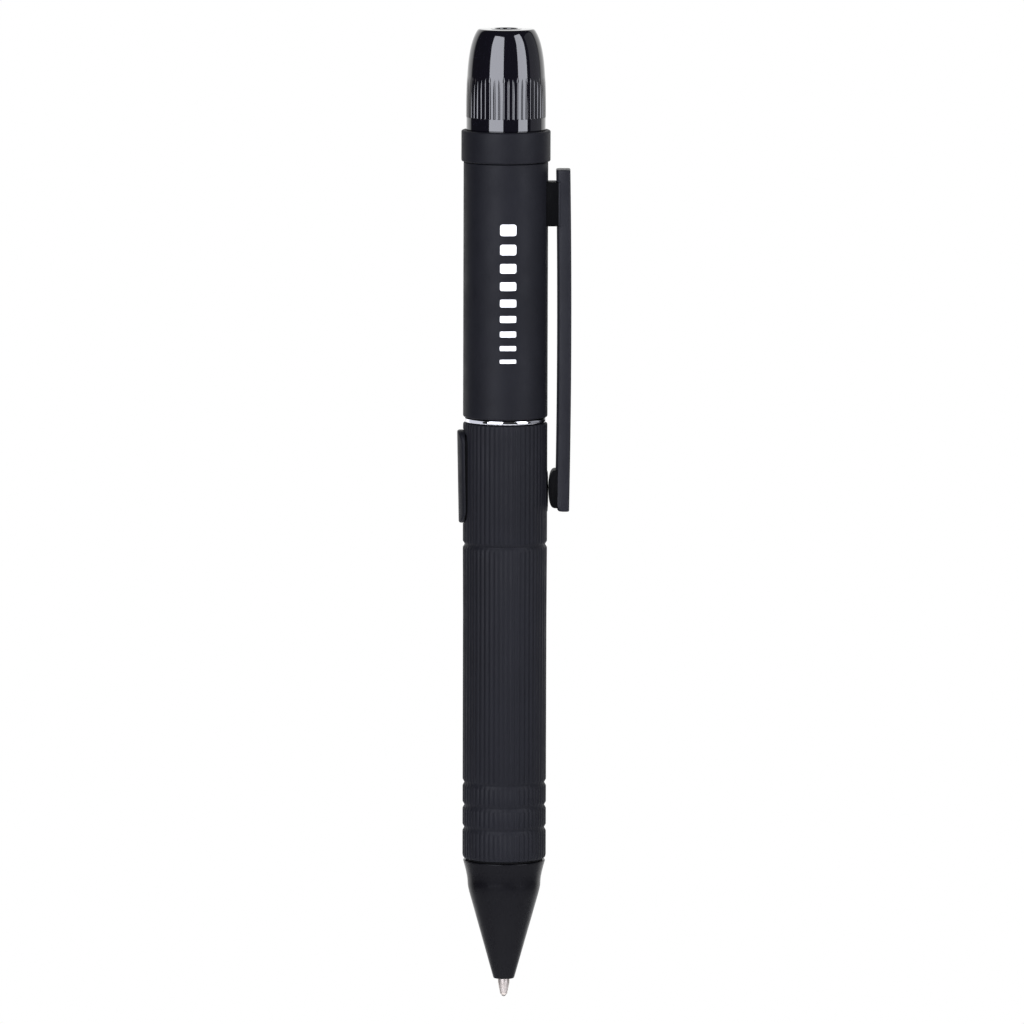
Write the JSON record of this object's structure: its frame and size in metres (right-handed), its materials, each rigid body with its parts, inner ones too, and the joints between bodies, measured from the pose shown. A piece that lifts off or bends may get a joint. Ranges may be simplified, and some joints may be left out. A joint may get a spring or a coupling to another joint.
{
  "type": "banknote checker pen",
  "caption": "Slim black pen with an ultraviolet checking lamp in its glossy domed head, pocket clip, side lamp button, chrome ring, ribbed grip and twist-out ballpoint tip.",
  "frame": {"origin": "on the pen's axis at the lower edge of the clip's post, where a pocket's hem carries the pen", "axes": "+Z along the pen from the writing tip to the lamp head, +X towards the pocket clip, -X towards the lamp button"},
  "size_m": [0.0175, 0.0138, 0.15],
  "materials": {
    "soft_touch_black": "soft-touch matt coating over moulded plastic and aluminium",
    "nose_satin_black": "satin moulded plastic",
    "gloss_black": "high gloss",
    "clip_black_metal": "satin black coating on spring steel",
    "deep_black": "matt",
    "trim_chrome": "polished",
    "nickel_silver": "turned, bright",
    "spring_steel": "drawn wire",
    "contact_brass": "stamped",
    "inner_plastic": "moulded, unpainted",
    "circuit_board": "solder mask",
    "rubber_seal": "matt",
    "refill_barrel": "translucent tube full of ink",
    "lamp_lens": "clear, polished",
    "cell_sleeve": "printed sleeve without lettering"
  },
  "bodies": {
    "upper_body": {"upper_barrel": "soft_touch_black", "collar": "soft_touch_black", "cell_can": "cell_sleeve", "cell_cap": "spring_steel", "positive_contact": "contact_brass", "led_board": "circuit_board", "uv_led": "lamp_lens", "led_reflector": "trim_chrome", "head_lens": "lamp_lens", "lamp_head": "gloss_black", "clip_post": "deep_black"},
    "clip": {"clip_arm": "clip_black_metal", "clip_ball": "deep_black"},
    "ring": {"trim_ring": "trim_chrome"},
    "switch_section": {"switch_housing": "soft_touch_black", "clip_landing_pad": "soft_touch_black", "twist_stator": "inner_plastic", "refill_spring": "spring_steel", "twist_o_ring": "rubber_seal", "neck_o_ring": "rubber_seal", "switch_board": "circuit_board", "board_carrier": "inner_plastic", "tact_switch": "spring_steel", "driver_chip": "deep_black", "driver_coil": "deep_black", "spring_plate": "contact_brass", "battery_spring": "spring_steel"},
    "button": {"lamp_button": "soft_touch_black"},
    "plunger": {"tact_plunger": "deep_black"},
    "grip": {"grip_sleeve": "soft_touch_black", "twist_cam": "contact_brass"},
    "gasket": {"nose_gasket": "rubber_seal"},
    "nose": {"nose_cone": "nose_satin_black"},
    "refill": {"writing_ball": "spring_steel", "refill_tip": "nickel_silver", "refill_tube": "refill_barrel", "refill_carrier": "inner_plastic", "cam_pin": "spring_steel"}
  },
  "joints": [
    {"name": "clip_flex", "type": "hinge", "parent": "upper_body", "child": "clip", "pos_m": [0.00775, 0, 0.0068], "axis": [0, -1, 0], "range_deg": [0, 6], "stiffness_Nm_per_rad": 2},
    {"name": "barrel_unscrew_travel", "type": "slide", "parent": "upper_body", "child": "ring", "axis": [0, 0, -1], "range_m": [0, 0.002]},
    {"name": "barrel_unscrew", "type": "hinge", "parent": "ring", "child": "switch_section", "pos_m": [0, 0, -0.02995], "axis": [0, 0, -1], "range_deg": [0, 120]},
    {"name": "lamp_button_press", "type": "slide", "parent": "switch_section", "child": "button", "axis": [1, 0, 0], "range_m": [0, 0.0005], "stiffness_N_per_m": 1000},
    {"name": "switch_plunger", "type": "slide", "parent": "switch_section", "child": "plunger", "axis": [1, 0, 0], "range_m": [0, 0.00025]},
    {"name": "grip_twist", "type": "hinge", "parent": "switch_section", "child": "grip", "pos_m": [0, 0, -0.0492], "axis": [0, 0, 1], "range_deg": [0, 180]},
    {"name": "refill_slide", "type": "slide", "parent": "switch_section", "child": "refill", "axis": [0, 0, 1], "range_m": [0, 0.0055], "deforming": ["refill_spring"]},
    {"name": "nose_unscrew_travel", "type": "slide", "parent": "grip", "child": "gasket", "axis": [0, 0, -1], "range_m": [0, 0.00225]},
    {"name": "nose_unscrew", "type": "hinge", "parent": "gasket", "child": "nose", "pos_m": [0, 0, -0.0981], "axis": [0, 0, -1], "range_deg": [0, 1080]}
  ],
  "couplings": [
    {"joint": "barrel_unscrew", "follows": "barrel_unscrew_travel", "rad_per_m": 1047.2},
    {"joint": "nose_unscrew", "follows": "nose_unscrew_travel", "rad_per_m": 8377.6},
    {"joint": "grip_twist", "follows": "refill_slide", "rad_per_m": 571.2},
    {"joint": "switch_plunger", "follows": "lamp_button_press", "ratio": 0.5}
  ]
}
